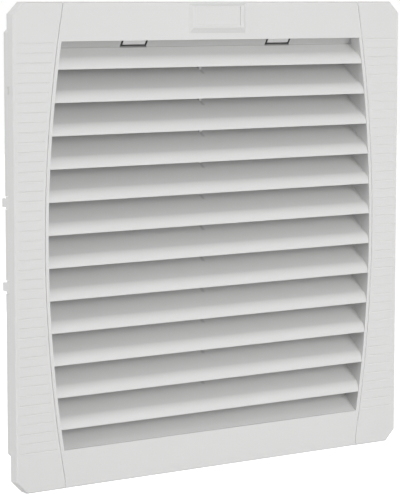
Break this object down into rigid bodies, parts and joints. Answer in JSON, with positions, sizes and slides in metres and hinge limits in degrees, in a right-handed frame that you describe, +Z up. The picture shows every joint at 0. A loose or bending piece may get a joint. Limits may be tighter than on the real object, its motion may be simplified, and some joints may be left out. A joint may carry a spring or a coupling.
{
  "type": "cabinet filter fan",
  "caption": "Square panel-mounted filter fan with a bottom-hinged louvred flap, a filter mat, a tapered hood and a round axial fan behind a wire guard.",
  "frame": {"origin": "middle of the flange's rear face, which lies on the cabinet panel", "axes": "+Z up, +Y into the cabinet along the fan's axis, +X to the right seen from the front"},
  "size_m": [0.32, 0.1146, 0.32],
  "materials": {
    "frame_plastic": "fine matt moulding texture",
    "flap_plastic": "fine matt moulding texture",
    "hood_plastic": "smooth moulding",
    "seal_foam": "foamed, open skin",
    "mat_fibre": "random fibre mat",
    "clip_plastic": "smooth moulding",
    "bright_steel": "zinc plated",
    "black_casting": "black paint on cast metal",
    "insert_brass": "turned",
    "guard_wire": "bright plated wire",
    "bearing_steel": "ground",
    "lamination": "stacked sheet",
    "copper_wire": "lacquered wire",
    "impeller_plastic": "satin moulding",
    "terminal_plastic": "smooth moulding"
  },
  "bodies": {
    "base": {"mounting_frame": "frame_plastic", "mat_grid": "hood_plastic", "panel_gasket": "seal_foam", "filter_mat": "mat_fibre", "clip_pins": "bright_steel", "fan_hood": "hood_plastic", "hood_screws": "bright_steel", "fan_frame": "black_casting", "fan_inserts": "insert_brass", "fan_screws": "bright_steel", "finger_guard": "guard_wire", "bearing_tube": "insert_brass", "front_bearing": "bearing_steel", "rear_bearing": "bearing_steel", "preload_washer": "bearing_steel", "stator_core": "lamination", "stator_windings": "copper_wire", "terminal_block": "terminal_plastic", "terminal_screws": "bright_steel"},
    "flap": {"front_cover": "flap_plastic", "hinge_pin_left": "bright_steel", "hinge_pin_right": "bright_steel"},
    "rotor": {"rotor_shaft": "bearing_steel", "rotor_can": "black_casting", "rotor_core": "lamination", "impeller": "impeller_plastic", "shaft_circlip": "bearing_steel"},
    "clip_left_upper": {"panel_clip_left_upper": "clip_plastic"},
    "clip_left_lower": {"panel_clip_left_lower": "clip_plastic"},
    "clip_right_upper": {"panel_clip_right_upper": "clip_plastic"},
    "clip_right_lower": {"panel_clip_right_lower": "clip_plastic"}
  },
  "joints": [
    {"name": "flap_hinge", "type": "hinge", "parent": "base", "child": "flap", "pos_m": [0, -0.0052, -0.1575], "axis": [1, 0, 0], "range_deg": [0, 90]},
    {"name": "rotor_spin", "type": "hinge", "parent": "base", "child": "rotor", "pos_m": [0, 0.08, 0], "axis": [0, 1, 0], "continuous": true},
    {"name": "clip_left_upper_pivot", "type": "hinge", "parent": "base", "child": "clip_left_upper", "pos_m": [-0.1434, 0.024, 0.028], "axis": [0, 0, 1], "range_deg": [0, 7], "stiffness_Nm_per_rad": 0.3},
    {"name": "clip_left_lower_pivot", "type": "hinge", "parent": "base", "child": "clip_left_lower", "pos_m": [-0.1434, 0.024, -0.028], "axis": [0, 0, 1], "range_deg": [0, 7], "stiffness_Nm_per_rad": 0.3},
    {"name": "clip_right_upper_pivot", "type": "hinge", "parent": "base", "child": "clip_right_upper", "pos_m": [0.1434, 0.024, 0.028], "axis": [0, 0, -1], "range_deg": [0, 7], "stiffness_Nm_per_rad": 0.3},
    {"name": "clip_right_lower_pivot", "type": "hinge", "parent": "base", "child": "clip_right_lower", "pos_m": [0.1434, 0.024, -0.028], "axis": [0, 0, -1], "range_deg": [0, 7], "stiffness_Nm_per_rad": 0.3}
  ]
}
